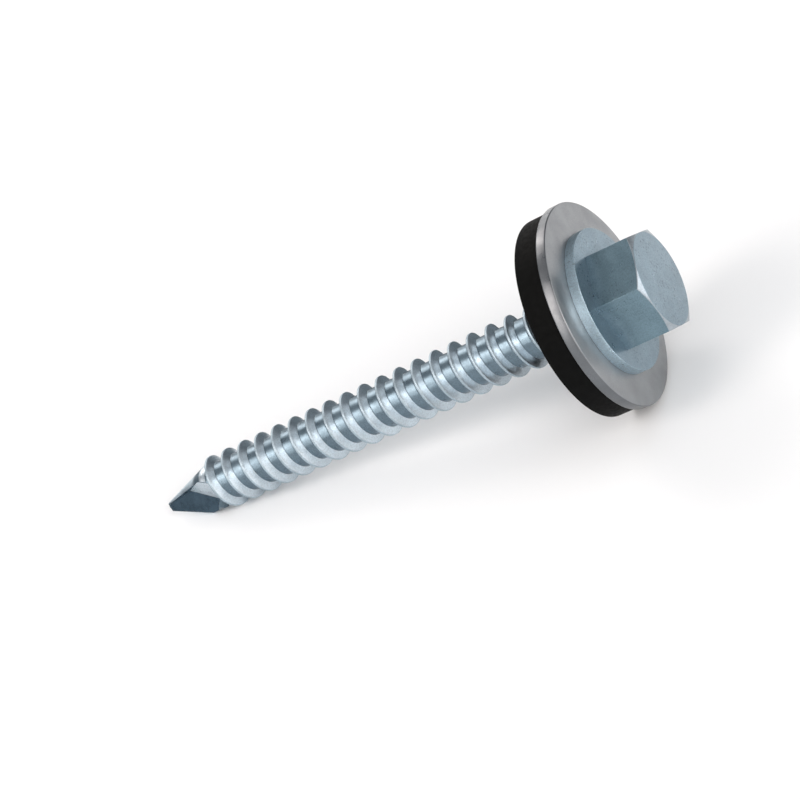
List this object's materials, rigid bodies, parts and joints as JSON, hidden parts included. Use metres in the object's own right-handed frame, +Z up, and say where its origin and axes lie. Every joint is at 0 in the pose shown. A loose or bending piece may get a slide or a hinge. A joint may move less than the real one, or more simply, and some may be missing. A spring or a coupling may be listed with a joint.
{
  "type": "self drilling screw",
  "caption": "Self-drilling screw with a flanged hexagon head, a captive steel washer with a bonded rubber seal, a coarse thread up to the seal and a fluted drill point.",
  "frame": {"origin": "on the ground, under the middle of the lying screw's length and width", "axes": "+Z up; the screw lies along X with its head at +X, raised where the washer's rim carries it"},
  "size_m": [0.0646, 0.022, 0.022],
  "materials": {
    "zinc_steel": "bright zinc plating, fine speckle on the head",
    "washer_steel": "plain galvanised steel, satin",
    "seal_rubber": "matte black moulded rubber"
  },
  "bodies": {
    "screw": {"screw": "zinc_steel"},
    "sealing_washer": {"steel_washer": "washer_steel", "rubber_seal": "seal_rubber"}
  },
  "joints": [
    {"name": "washer_spin", "type": "hinge", "parent": "screw", "child": "sealing_washer", "pos_m": [0.0248, 0, 0.01107], "axis": [0.9867, 0, 0.1626], "continuous": true}
  ]
}
